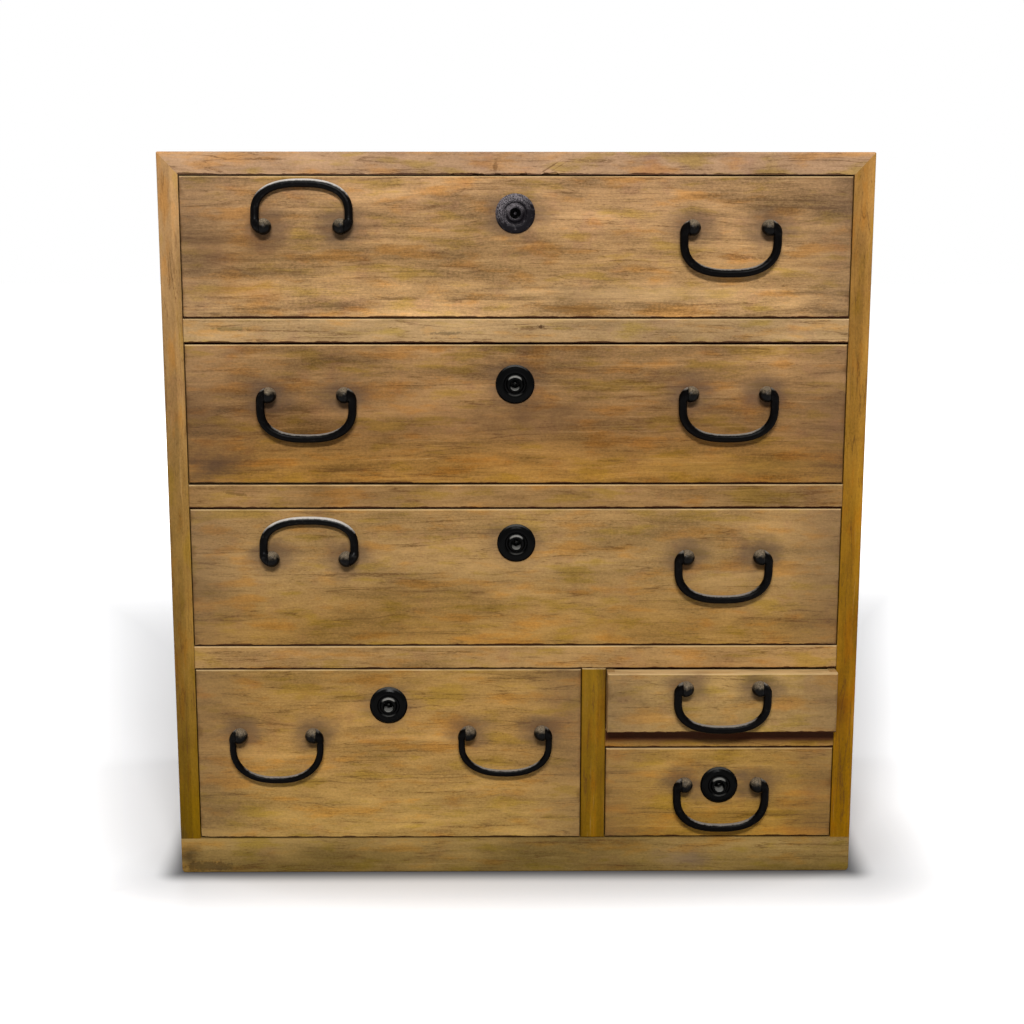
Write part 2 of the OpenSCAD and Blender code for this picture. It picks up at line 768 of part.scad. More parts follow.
drawer_bottom(4);  // drawer_5_bottom
drawer_posts(4);  // drawer_5_posts
drawer_front(5);  // drawer_6_front
drawer_sides(5);  // drawer_6_sides
drawer_back(5);  // drawer_6_back
drawer_bottom(5);  // drawer_6_bottom
drawer_posts(5);  // drawer_6_posts
drawer_lock(0);  // drawer_1_lock
drawer_lock(1);  // drawer_2_lock
drawer_lock(2);  // drawer_3_lock
drawer_lock(3);  // drawer_4_lock
drawer_lock(5);  // drawer_6_lock
drawer_bolt(0);  // drawer_1_bolt
drawer_bolt(1);  // drawer_2_bolt
drawer_bolt(2);  // drawer_3_bolt
drawer_bolt(3);  // drawer_4_bolt
drawer_bolt(5);  // drawer_6_bolt
drawer_bail(0, 0);  // drawer_1_left_bail
drawer_bail(0, 1);  // drawer_1_right_bail
drawer_bail(1, 0);  // drawer_2_left_bail
drawer_bail(1, 1);  // drawer_2_right_bail
drawer_bail(2, 0);  // drawer_3_left_bail
drawer_bail(2, 1);  // drawer_3_right_bail
drawer_bail(3, 0);  // drawer_4_left_bail
drawer_bail(3, 1);  // drawer_4_right_bail
drawer_bail(4, 0);  // drawer_5_bail
drawer_bail(5, 0);  // drawer_6_bail
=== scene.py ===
# Looks for a low chest of six drawers: old brown wood, blackened iron bails and keyhole plates
import math

import bmesh
import bpy
from mathutils import Euler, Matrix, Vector, noise


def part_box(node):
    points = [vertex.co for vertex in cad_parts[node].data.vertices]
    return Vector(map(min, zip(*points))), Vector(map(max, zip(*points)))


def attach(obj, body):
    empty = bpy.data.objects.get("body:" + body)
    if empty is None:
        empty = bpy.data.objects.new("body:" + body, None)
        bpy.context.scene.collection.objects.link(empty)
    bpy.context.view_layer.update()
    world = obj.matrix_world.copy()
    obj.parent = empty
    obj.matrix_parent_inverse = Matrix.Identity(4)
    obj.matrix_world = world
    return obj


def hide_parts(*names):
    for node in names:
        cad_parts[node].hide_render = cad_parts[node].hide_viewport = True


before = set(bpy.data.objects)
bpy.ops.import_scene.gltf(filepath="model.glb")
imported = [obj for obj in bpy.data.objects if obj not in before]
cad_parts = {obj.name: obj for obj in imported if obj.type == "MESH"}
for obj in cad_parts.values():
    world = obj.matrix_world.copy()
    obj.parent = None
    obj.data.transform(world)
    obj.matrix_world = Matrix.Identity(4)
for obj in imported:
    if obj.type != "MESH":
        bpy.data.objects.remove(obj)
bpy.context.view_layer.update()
scene = bpy.context.scene

# Measures in metres
HALF_W = 0.375
HALF_D = 0.2
FRONT = -HALF_D
FRONT_T = 0.018
PULL_5 = 0.017
STANDOFF = 0.0096
POST_PITCH = 0.0808
HEAD_D = 0.0176
HEAD_FLAT = 0.0032
EYE_GAP = 0.0003
PIN_D = 0.0044
PIN_L = 0.007
DROP = 0.047

DRAWERS = [f"drawer_{n}" for n in range(1, 7)]
# Where the openings lie: left, right, low, high
OPENINGS = [
    (-0.353, 0.353, 0.6215, 0.7715), (-0.353, 0.353, 0.443, 0.596), (-0.353, 0.353, 0.263, 0.4175),
    (-0.353, 0.0725, 0.0405, 0.2375), (0.099, 0.353, 0.1675, 0.2375), (0.099, 0.353, 0.0405, 0.1465),
]
# Handles and locks lie this far below the opening's top, and two handles this far in from its sides
HANDLE_DROP = [0.0536, 0.0542, 0.0536, 0.0726, 0.0159, 0.041]
HANDLE_INSET = [0.1285, 0.1285, 0.1285, 0.0866, None, None]
LOCK_DROP = [0.0398, 0.0439, 0.0384, 0.0414, None, 0.0437]
# How far each stands off its nominal place, and how much each bail's drop differs
LOCK_STRAY = [-0.0015, -0.0015, 0, -0.0003, 0, 0.0004]
STRAY = [
    [(0.0005, 0.0004), (-0.0006, -0.0005)], [(0.0012, -0.0005), (0.0014, 0.0005)],
    [(0.0007, -0.0007), (0.0001, 0.0008)], [(0.0024, -0.0012), (0.0021, 0.0013)],
    [(-0.0009, 0)], [(0.0017, 0)],
]
DROP_STRAY = [[-0.002, 0.0003], [-0.0006, 0.0004], [-0.0052, 0], [0.0039, -0.0008], [-0.0008], [0.003]]
# The bails that lie folded up: drawer, handle
FLIPPED = {(0, 0), (2, 0)}


def handle(n, k):
    """Place of a handle's middle on its pivot line."""
    x0, x1, _, top = OPENINGS[n]
    if len(STRAY[n]) == 1:
        x = (x0 + x1) / 2
    else:
        x = x0 + HANDLE_INSET[n] if k == 0 else x1 - HANDLE_INSET[n]
    dx, dz = STRAY[n][k]
    return Vector((x + dx, FRONT - STANDOFF - (PULL_5 if n == 4 else 0), top - HANDLE_DROP[n] + dz))


def posts(n):
    """The posts of a drawer: their handle, their side of it and the place of the head's middle."""
    for k in range(len(STRAY[n])):
        for side in (-1, 1):
            yield k, side, handle(n, k) + Vector((side * POST_PITCH / 2, 0, 0))


def lock(n):
    """Place of a lock's middle on its drawer front."""
    x0, x1, _, top = OPENINGS[n]
    return Vector(((x0 + x1) / 2 + LOCK_STRAY[n], FRONT, top - LOCK_DROP[n]))


def srgb(red, green, blue):
    """A colour from the 0 to 255 numbers that a picture holds."""
    def linear(value):
        value /= 255
        return value / 12.92 if value <= 0.04045 else ((value + 0.055) / 1.055) ** 2.4
    return linear(red), linear(green), linear(blue), 1.0


# Colours, of which the last three are tints to multiply by
IVORY = srgb(214, 182, 132)
DIRT = srgb(84, 52, 24)
# The next colour is painted shade: the dark of gaps, lower edges and the rail under drawer 5
GAP_SHADE = srgb(52, 20, 8)
STAIN = srgb(96, 76, 62)
BLACKENED = srgb(44, 34, 22)
BROWNED = srgb(92, 58, 32)
LACQUER = srgb(3, 2, 2)
RUST = (1.09, 0.93, 0.66, 1)
OLIVE = (0.92, 0.93, 0.58, 1)
MAUVE = (0.90, 0.84, 0.94, 1)


class Shader:
    """The nodes of one material."""

    def __init__(self, name):
        self.mat = bpy.data.materials.new(name)
        self.mat.use_nodes = True
        self.tree = self.mat.node_tree
        self.surface = self.tree.nodes["Principled BSDF"]

    def put(self, socket, value):
        """Links an input to another node's output, or sets its value."""
        if isinstance(value, bpy.types.NodeSocket):
            self.tree.links.new(value, socket)
        elif value is not None:
            socket.default_value = value

    def add(self, kind, *values, **settings):
        """Adds a node, with values for its first inputs."""
        node = self.tree.nodes.new("ShaderNode" + kind)
        for key, value in settings.items():
            setattr(node, key, value)
        for socket, value in zip(node.inputs, values):
            self.put(socket, value)
        return node

    def fill(self, node, **values):
        """Puts values in a node's inputs by their names."""
        for key, value in values.items():
            self.put(node.inputs[key.replace("_", " ")], value)
        return node.outputs[0]

    def finish(self, **values):
        self.fill(self.surface, **values)
        return self.mat

    def math(self, operation, a, b=None, c=None, clamp=False):
        return self.add("Math", a, b, c, operation=operation, use_clamp=clamp).outputs[0]

    def plus(self, a, b):
        return self.math("ADD", a, b)

    def minus(self, a, b):
        return self.math("SUBTRACT", a, b)

    def times(self, a, b):
        return self.math("MULTIPLY", a, b)

    def vector_math(self, operation, a, b=None):
        return self.add("VectorMath", a, b, operation=operation).outputs[0]

    def vector(self, x, y, z):
        return self.add("CombineXYZ", x, y, z).outputs[0]

    def split(self, vector):
        return self.add("SeparateXYZ", vector).outputs

    def offset(self, place, centre):
        """X, Y and Z of a place, as seen from a centre."""
        return self.split(self.vector_math("SUBTRACT", place, centre))

    def length(self, vector):
        return self.add("VectorMath", vector, operation="LENGTH").outputs["Value"]

    def noise(self, place, scale=1.0, detail=2.0, rough=0.5):
        return self.fill(self.add("TexNoise"), Vector=place, Scale=scale, Detail=detail, Roughness=rough)

    def centred(self, value, amount):
        """Noise about zero, times an amount."""
        return self.times(self.minus(value, 0.5), amount)

    def spread(self, value, low, high, to_low=0.0, to_high=1.0):
        """Goes smoothly from to_low to to_high, as the value goes from low to high."""
        node = self.add("MapRange", value, low, high, to_low, to_high, interpolation_type="SMOOTHSTEP")
        return node.outputs[0]

    def mix(self, share, a, b, blend="MIX"):
        """Mixes two colours, by the sockets that the node keeps for colours."""
        node = self.add("Mix", share, data_type="RGBA", blend_type=blend)
        self.put(node.inputs[6], a)
        self.put(node.inputs[7], b)
        return node.outputs[2]

    def bump(self, height, strength, distance, normal=None):
        node = self.add("Bump")
        return self.fill(node, Height=height, Strength=strength, Distance=distance, Normal=normal)


class Wood(Shader):
    """Old planed wood. order names the axes along the grain, across it and through the board."""

    def __init__(self, name, order, seed):
        super().__init__(name)
        coords = self.add("TexCoord").outputs
        self.place = coords["Object"]
        self.axes = dict(zip("xyz", self.split(self.place)))
        self.facing = dict(zip("xyz", self.split(coords["Normal"])))
        self.along = self.plus(self.axes[order[0]], seed * 3.1)
        self.across = self.plus(self.axes[order[1]], seed)
        self.through = self.axes[order[2]]
        # Slow waves bend every finer streak
        bend = self.plus(self.centred(self.grain(0.30, 0.090), 0.026),
                         self.centred(self.grain(0.050, 0.018), 0.0034))
        self.blotch = self.grain(0.060, 0.013, 5.0, 0.64, bend)
        self.band = self.grain(0.24, 0.0080, 3.0, 0.6, bend)
        self.streak = self.grain(0.11, 0.0017, 3.0, 0.62, bend)
        self.line = self.grain(0.30, 0.0085, 1.0, 0.5, bend)
        self.fibre = self.grain(0.0050, 0.0010, 2.0, 0.6)
        self.patch = self.grain(0.17, 0.055, 2.0, 0.5)
        self.cast = self.grain(0.075, 0.020, 4.0, 0.6)
        self.cloud = self.grain(0.034, 0.020, 4.0, 0.65)
        self.ragged = self.noise(self.place, 150.0, 4.0, 0.7)
        pore = self.grain(0.0065, 0.0010, 1.0, 0.5, bend)
        self.pores = self.times(self.spread(pore, 0.63, 0.72, 0.0, 0.5),
                                self.spread(self.blotch, 0.58, 0.42))
        self.ahead = self.spread(self.facing["y"], -0.4, -0.8)

    def grain(self, length, width, detail=2.0, rough=0.5, bend=None):
        """Noise in spots of about this length along the grain and this width across it."""
        sides = [self.plus(side, bend) if bend else side for side in (self.across, self.through)]
        place = self.vector(self.math("DIVIDE", self.along, length), self.math("DIVIDE", sides[0], width),
                            self.math("DIVIDE", sides[1], width))
        return self.noise(place, 1.0, detail, rough)

    def base(self, tones, contrast, cloudy, streaks):
        """The mean colours by height, made lighter and darker by the grain."""
        speck = self.noise(self.place, 380.0, 3.0, 0.75)
        tone = self.plus(self.centred(self.blotch, 1.25), self.centred(self.patch, cloudy))
        for layer, amount in ((self.band, 1.15 * streaks), (self.streak, 0.5 * streaks), (self.fibre, 0.7),
                              (speck, 0.8)):
            tone = self.plus(tone, self.centred(layer, amount))
        tone = self.math("ADD", tone, 0.5, clamp=True)
        ramp = self.add("ValToRGB", self.plus(self.axes["z"], self.centred(self.patch, 0.08)))
        stops = ramp.color_ramp.elements
        while len(stops) > len(tones):
            stops.remove(stops[-1])
        while len(stops) < len(tones):
            stops.new(1.0)
        for stop, (height, mean) in zip(stops, sorted(tones)):
            stop.position = height
            stop.color = srgb(*mean)
        dark, light = 1 - contrast, 1 + contrast
        gain = self.mix(tone, (dark, dark * 0.98, dark * 0.94, 1), (light, light, light, 1))
        return self.mix(1.0, ramp.outputs[0], gain, "MULTIPLY")

    def casts(self, colour, seed, hue):
        """Rusty, olive and greyish casts."""
        other = self.noise(self.place, 26.0 + seed, 4.0, 0.6)
        colour = self.mix(self.spread(self.cast, 0.51, 0.66, 0.0, hue), colour, RUST, "MULTIPLY")
        colour = self.mix(self.spread(self.cast, 0.48, 0.34, 0.0, hue), colour, OLIVE, "MULTIPLY")
        return self.mix(self.spread(other, 0.52, 0.70, 0.0, 0.7 * hue), colour, MAUVE, "MULTIPLY")

    def figure(self, colour, streaks):
        """Broken lines of late wood, pale streaks and open pores."""
        thin = self.math("ABSOLUTE", self.centred(self.line, 1.0))
        broken = self.times(self.spread(thin, 0.022, 0.004, 0.0, 0.62), self.spread(self.fibre, 0.38, 0.54))
        colour = self.mix(self.times(broken, self.spread(self.blotch, 0.62, 0.45)), colour, DIRT)
        pale = self.times(self.spread(self.streak, 0.52, 0.70), self.spread(self.band, 0.50, 0.66))
        colour = self.mix(self.times(pale, 0.26 * streaks), colour, IVORY)
        return self.mix(self.pores, colour, DIRT)

    def stained(self, colour, stains):
        """Iron and handling have stained the wood round posts and plates."""
        for centre, reach, strength in stains:
            x, _, z = self.offset(self.place, centre)
            away = self.length(self.vector(self.times(x, 0.75), 0.0, z))
            away = self.plus(away, self.centred(self.cloud, reach * 1.1))
            colour = self.mix(self.spread(away, reach, reach * 0.25, 0.0, strength), colour, STAIN)
        return colour

    def marked(self, colour, marks):
        """Knots, scratches and stains of their own, and some marks of painted shade, with a soft or a ragged
        edge.
        """
        for centre, size, slant, tint, strength, ragged in marks:
            x, y, z = self.offset(self.place, centre)
            sideways = self.minus(x, self.times(z, slant))
            flat = self.vector(self.math("DIVIDE", sideways, size[0]), 0.0, self.math("DIVIDE", z, size[1]))
            edge = self.centred(self.ragged, 3.0) if ragged else self.centred(self.cloud, 1.6)
            away = self.plus(self.length(flat), edge)
            away = self.plus(away, self.spread(y, 0.004, 0.02, 0.0, 2.0))
            core = 0.5 if ragged else -0.2
            colour = self.mix(self.spread(away, 1.0, core, 0.0, strength), colour, tint)
        return colour

    def striped(self, colour, strips):
        """Paler strips up the front face."""
        soft = 0.0012
        at = self.plus(self.axes["x"], self.centred(self.ragged, 0.004))
        for start, end, level in strips:
            inside = self.times(self.spread(at, start - soft, start + soft),
                                self.spread(at, end + soft, end - soft))
            inside = self.times(self.times(inside, self.ahead),
                                self.spread(self.patch, 0.30, 0.50, 0.35, 1.0))
            paler = self.mix(1.0, colour, (level, level, level, 1), "MULTIPLY")
            colour = self.mix(inside, colour, paler)
        return colour

    def darker_ends(self, colour, ends, end_darkening):
        """Darker towards the left and right ends, and darkest right at them."""
        x = self.axes["x"]
        inward = self.math("MINIMUM", self.minus(x, ends[0]), self.minus(ends[1], x))
        inward = self.plus(inward, self.centred(self.cloud, 0.03))
        colour = self.mix(self.spread(inward, 0.085, 0.0, 0.0, end_darkening), colour, STAIN)
        return self.mix(self.spread(inward, 0.005, -0.003, 0.0, 0.5), colour, DIRT)

    def shade_lined(self, colour, lines):
        """Painted shade: dark lines of uneven width along the edges above gaps."""
        width = self.spread(self.grain(0.030, 0.5, 3.0, 0.7), 0.36, 0.66, 0.0005, 0.0022)
        for height in lines:
            above = self.math("ABSOLUTE", self.minus(self.axes["z"], height))
            colour = self.mix(self.times(self.math("LESS_THAN", above, width), 0.82), colour, GAP_SHADE)
        return colour

    def shaded(self, colour, unshaded_below, shaded_above, end):
        """A painted shadow on the front face, from the height where it begins up to its end."""
        z = self.axes["z"]
        share = self.times(self.spread(z, unshaded_below, shaded_above, 0.0, 0.96), self.spread(z, end, end - 0.001))
        return self.mix(self.times(share, self.ahead), colour, GAP_SHADE)

    def lit_and_shaded_edges(self, colour):
        """Upper edges paler, partly bare from wear and partly a painted highlight; lower edges darker as
        painted shade; faces behind the front darker from dirt and painted shade.
        """
        z = self.facing["z"]
        bare = self.times(self.spread(z, 0.12, 0.5), self.spread(self.blotch, 0.3, 0.6, 0.3, 0.75))
        colour = self.mix(bare, colour, IVORY)
        colour = self.mix(self.spread(z, -0.12, -0.6, 0.0, 0.85), colour, GAP_SHADE)
        inside = self.spread(self.axes["y"], FRONT + 0.0012, FRONT + 0.003, 0.0, 0.85)
        return self.mix(inside, colour, GAP_SHADE)

    def board(self, colour, rough):
        """Ends with the relief of fibres and pores over slow hollows."""
        height = self.plus(self.times(self.fibre, 0.6), self.times(self.streak, 0.7))
        height = self.minus(height, self.pores)
        normal = self.bump(height, 0.28, 0.0003)
        normal = self.bump(self.blotch, 0.25, 0.0016, normal)
        sheen = self.spread(self.cast, 0.3, 0.7, rough - 0.07, rough + 0.09)
        return self.finish(Base_Color=colour, Roughness=sheen, Normal=normal, Specular_IOR_Level=0.07)


def wood(name, tones, seed, order="xzy", contrast=0.5, hue=1.0, streaks=1.0, cloudy=1.2, rough=0.6,
         stains=(), marks=(), strips=(), ends=None, end_darkening=0.42, lines=(), shade=None, front=False):
    """A material of old wood.

    tones are one or more (height, mean colour), stains are (place, radius, strength), marks are (place,
    size, slant, tint, strength, ragged), strips are (from, to, gain), ends are where the board ends at
    the left and right, lines are the heights of edges with a dark line of painted shade, shade is
    (unshaded below, shaded above, end) for a painted shadow under a front that stands out, and front is
    for boards whose upper edges are paler, partly from wear and partly a painted highlight, whose lower
    edges are darker as painted shade, and whose faces in the gaps are darker from dirt and painted shade.
    """
    made = Wood(name, order, seed)
    colour = made.base(tones, contrast, cloudy, streaks)
    colour = made.casts(colour, seed, hue)
    colour = made.figure(colour, streaks)
    colour = made.stained(colour, stains)
    colour = made.marked(colour, marks)
    if strips:
        colour = made.striped(colour, strips)
    if ends:
        colour = made.darker_ends(colour, ends, end_darkening)
    if lines:
        colour = made.shade_lined(colour, lines)
    if shade:
        colour = made.shaded(colour, *shade)
    if front:
        colour = made.lit_and_shaded_edges(colour)
    return made.board(colour, rough)


def iron(name, colour, dust_and_sheen, rough=0.30, cover=0.85, low=0.02, high=0.4, patina=0.25, specular=0.06,
         hammer=0.2, mottle=1.1, centre=None, ring=None, highlight_above=None):
    """Forged iron under old black lacquer, whose upper sides are paler: dusty and rubbed, and on the bails,
    the heads and the lock plates also a painted highlight. A plate with a centre is paler at its upper left,
    as painted light with painted shade at its lower right, or only within its ring, as a painted highlight.
    Nothing below the height highlight_above is made paler on its upper sides."""
    s = Shader(name)
    coords = s.add("TexCoord").outputs
    place = coords["Object"]
    up = s.split(coords["Normal"])[2]
    cloud = s.noise(place, 230.0, 3.0, 0.65)
    grit = s.noise(place, 900.0, 3.0, 0.7)
    dents = s.noise(place, 190.0, 1.0)
    level = s.plus(up, s.centred(cloud, mottle))
    if centre:
        x, _, z = s.offset(place, centre)
        # Painted light at the plate's upper left and painted shade at its lower right
        if not ring:
            level = s.plus(level, s.minus(s.times(z, 34.0), s.times(x, 26.0)))
    low_cover = max(0.0, 1 - 0.6 * mottle) * cover
    dust_and_sheen_mask = s.times(s.spread(level, low, high), s.spread(grit, 0.38, 0.62, low_cover, cover))
    # A painted highlight on the ring round the keyhole
    if ring:
        radius = s.length(s.vector(x, 0.0, z))
        dust_and_sheen_mask = s.times(dust_and_sheen_mask, s.spread(radius, ring, ring + 0.001, 1.0, 0.25))
    if highlight_above:
        height = s.split(place)[2]
        dust_and_sheen_mask = s.times(dust_and_sheen_mask, s.spread(height, highlight_above, highlight_above + 0.006))
    dust_and_sheen_mask = s.math("MAXIMUM", dust_and_sheen_mask, s.spread(cloud, 0.56, 0.75, 0.0, patina))
    tint = s.mix(dust_and_sheen_mask, colour, dust_and_sheen)
    normal = s.bump(grit, 0.12, 0.0002)
    normal = s.bump(dents, hammer, 0.0012, normal)
    return s.finish(Base_Color=tint, Roughness=s.spread(dust_and_sheen_mask, 0.0, 0.8, rough, rough + 0.3), Normal=normal,
                    Specular_IOR_Level=specular)


# Boards of the case
BOARDS = {
    "top_board": dict(
        tones=[(0.5, (170, 135, 102))], order="xyz", seed=1.3, streaks=0.6, contrast=0.42, lines=[0.7715],
        marks=[((-0.022, FRONT, 0.781), (0.003, 0.009), 0.1, BROWNED, 0.5, True),
               ((0.034, FRONT, 0.779), (0.0016, 0.009), 1.6, BROWNED, 0.6, True),
               ((0.044, FRONT, 0.780), (0.0014, 0.007), 1.6, BROWNED, 0.5, True),
               # The last mark is painted shade, standing for a thin chip in the lower edge
               ((-0.047, FRONT, 0.7725), (0.014, 0.0012), 0, GAP_SHADE, 0.8, True)]),
    "left_side": dict(
        tones=[(0.08, (108, 79, 2)), (0.42, (136, 103, 52)), (0.72, (158, 122, 80))], order="zyx", seed=2.1,
        streaks=0.4, contrast=0.38, strips=[(-0.3612, -0.3520, 1.30)],
        marks=[((-0.374, FRONT, 0.034), (0.014, 0.026), 0, BLACKENED, 0.7, False)]),
    "right_side": dict(
        tones=[(0.08, (128, 88, 0)), (0.42, (140, 99, 22)), (0.72, (152, 111, 56))], order="zyx", seed=3.7,
        streaks=0.4, contrast=0.38, strips=[(0.3675, 0.378, 1.22)],
        # This mark is a painted shadow that drawer 5, standing out, throws on the side board
        marks=[((0.360, FRONT, 0.190), (0.014, 0.045), 0, srgb(92, 52, 14), 0.6, False)]),
    "base_rail": dict(
        tones=[(0.0, (124, 100, 52)), (0.04, (146, 118, 68))], order="xzy", seed=4.9, streaks=0.4,
        contrast=0.4,
        marks=[((-0.366, FRONT, 0.020), (0.020, 0.022), 0, BLACKENED, 0.75, False),
               ((-0.345, FRONT, 0.008), (0.040, 0.007), 0, BLACKENED, 0.5, True),
               ((0.19, FRONT, 0.016), (0.05, 0.018), 0, srgb(124, 104, 88), 0.5, False)]),
    "front_rails": dict(
        tones=[(0.15, (150, 112, 56)), (0.25, (164, 128, 79)), (0.43, (147, 112, 68)),
               (0.61, (168, 136, 94))],
        order="xzy", seed=5.3, front=True, streaks=0.5, contrast=0.42, lines=[0.596, 0.4175, 0.2375, 0.1465],
        # A painted shadow on the short rail under drawer 5, which stands out
        shade=(0.148, 0.157, 0.170),
        marks=[((0.025, FRONT, 0.613), (0.0040, 0.0032), 0, srgb(60, 34, 16), 0.85, True),
               ((0.012, FRONT, 0.611), (0.018, 0.0016), 0, BROWNED, 0.5, True),
               ((-0.075, FRONT, 0.606), (0.022, 0.0024), 1.5, srgb(96, 82, 58), 0.55, True),
               ((-0.305, FRONT, 0.611), (0.026, 0.0026), 0, srgb(112, 98, 60), 0.5, True),
               ((-0.300, FRONT, 0.433), (0.012, 0.0030), -4.0, srgb(104, 76, 38), 0.6, True)]),
    "divider": dict(
        tones=[(0.05, (112, 80, 4)), (0.22, (122, 90, 18))], order="zyx", seed=6.1, front=True,
        streaks=0.4, contrast=0.35, strips=[(0.0835, 0.0905, 1.2)]),
}

# Fronts of the drawers, from the first to the sixth
FRONT_WOOD = [
    dict(tones=[(0.635, (188, 148, 99)), (0.68, (160, 124, 80)), (0.75, (166, 129, 88))], seed=7.7,
         contrast=0.58, cloudy=1.3, streaks=0.9, end_darkening=0.35,
         marks=[((-0.300, FRONT, 0.700), (0.09, 0.060), 0, srgb(112, 78, 46), 0.5, False),
                ((-0.280, FRONT, 0.650), (0.06, 0.018), 0, srgb(176, 116, 48), 0.5, False),
                ((0.110, FRONT, 0.648), (0.20, 0.016), 0, srgb(206, 168, 118), 0.5, False)]),
    dict(tones=[(0.455, (156, 113, 54)), (0.51, (128, 94, 56)), (0.58, (152, 116, 74))], seed=8.5,
         contrast=0.54, cloudy=1.4, streaks=0.7, end_darkening=0.3,
         marks=[((-0.325, FRONT, 0.466), (0.055, 0.026), 0, srgb(62, 44, 36), 0.75, False),
                ((0.010, FRONT, 0.520), (0.12, 0.034), 0, srgb(78, 54, 36), 0.6, False),
                ((0.230, FRONT, 0.462), (0.14, 0.014), 0, srgb(178, 136, 66), 0.5, False)]),
    dict(tones=[(0.28, (159, 121, 64)), (0.35, (156, 123, 76)), (0.41, (165, 129, 80))], seed=9.4,
         contrast=0.46, cloudy=1.2, streaks=0.3),
    dict(tones=[(0.06, (175, 139, 77)), (0.15, (177, 136, 77)), (0.22, (163, 126, 70))], seed=10.2,
         contrast=0.44, cloudy=1.1, streaks=0.4),
    dict(tones=[(0.2, (176, 141, 86))], seed=11.6, contrast=0.36, streaks=0.45),
    dict(tones=[(0.05, (160, 120, 50)), (0.13, (162, 125, 64))], seed=12.9, contrast=0.46, streaks=0.6),
]

# Boards that are seen only when a drawer is open, or from behind
DRAWER_WOOD = dict(hue=0.3, streaks=0.7, rough=0.75, contrast=0.3)
INNER_WOOD = dict(tones=[(0.5, (150, 120, 80))], hue=0.5, rough=0.8, streaks=0.8)


def paint(name, material):
    """Gives one material to a node of the frame."""
    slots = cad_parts[name].material_slots
    if not slots:
        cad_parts[name].data.materials.append(material)
    for item in slots:
        item.link = "OBJECT"
        item.material = material


for name, look in BOARDS.items():
    paint(name, wood(name + "_wood", **look))

for n, look in enumerate(FRONT_WOOD):
    stains = [((at.x, FRONT, at.z), 0.028, 0.62) for _, _, at in posts(n)]
    if LOCK_DROP[n]:
        stains.append((tuple(lock(n)), 0.034, 0.7 if n == 0 else 0.5))
    name = DRAWERS[n] + "_front"
    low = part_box(name)[0][2]
    paint(name, wood(name + "_wood", stains=stains, ends=OPENINGS[n][:2], front=True, lines=[low], **look))

for n, drawer in enumerate(DRAWERS):
    # Drawer 5 stands out, and the sides that it shows have darkened
    side = (164, 130, 84) if n == 4 else (184, 152, 108)
    for part, tone, order, seed in (("_sides", side, "yzx", 20), ("_back", (184, 152, 108), "xzy", 30),
                                    ("_bottom", (190, 160, 118), "xyz", 40)):
        name = drawer + part
        paint(name, wood(name + "_wood", [(0.5, tone)], seed + n, order, **DRAWER_WOOD))

for name, order, seed in (("bottom_board", "xyz", 50), ("bottom_bearer", "yxz", 51),
                          ("dust_boards", "xyz", 52), ("back_boards", "zxy", 53)):
    paint(name, wood(name + "_wood", order=order, seed=seed, **INNER_WOOD))

# The bails' upper sides get a painted highlight, and the heads' upper halves are dusty and get a painted
# highlight too
BAIL = iron("black_iron", LACQUER, srgb(160, 152, 142), rough=0.3, cover=0.8, low=0.60, high=0.93,
            patina=0.02, mottle=0.45, specular=0.03)
HEADS = iron("dusty_and_lit_iron", LACQUER, srgb(150, 133, 110), rough=0.32, cover=0.85, low=0.0, high=0.9,
             patina=0.05, mottle=1.1, specular=0.06)
BOLT = iron("grey_iron", srgb(58, 56, 55), srgb(118, 110, 100), rough=0.5)
# The first plate has lost its gloss and is paler at its upper left, as painted light, and the others have a
# painted highlight only on the ring
WEATHERED = dict(colour=srgb(16, 13, 17), dust_and_sheen=srgb(140, 133, 136), rough=0.42, cover=0.85, low=-0.4,
                 high=1.1, patina=0.25, mottle=2.0)
GLOSSY = dict(colour=srgb(4, 4, 4), dust_and_sheen=srgb(160, 158, 152), rough=0.2, cover=0.7, low=0.45, high=0.75,
              patina=0.0, specular=0.03, hammer=0.04, mottle=0.2, ring=0.0088)
for n, drawer in enumerate(DRAWERS):
    if LOCK_DROP[n]:
        look = WEATHERED if n == 0 else GLOSSY
        paint(drawer + "_lock", iron(drawer + "_lock_iron", centre=tuple(lock(n)), **look))
        paint(drawer + "_bolt", BOLT)


# Bails and posts, forged and a little uneven
FACE_X = POST_PITCH / 2 + HEAD_FLAT + EYE_GAP
FACE_R = math.sqrt((HEAD_D / 2) ** 2 - HEAD_FLAT ** 2) - 0.0001
CURL_EDGE = 0.0003
BOW_TOP = 0.014
CURL_STEPS = 14
BOW_STEPS = 72
ROD_SIDES = 32
# Thickness of a bail's arms, thickness of its grip, and how square its bow is
BAIL_FORM = (0.0094, 0.0094, 2.5)
SLIM_FORM = (0.0076, 0.008, 2.3)
REST_GAP = 0.0003
BORE_R = PIN_D / 2 + 0.00005
BORE_L = PIN_L + 0.0006
NECK_R = 0.003
COLLAR_R = 0.0058
SHANK_R = 0.0025
LEG_W = 0.003
LEG_T = 0.0016
LEG_L = 0.026
HEAD_STEPS = 22
SHARP = math.radians(38)


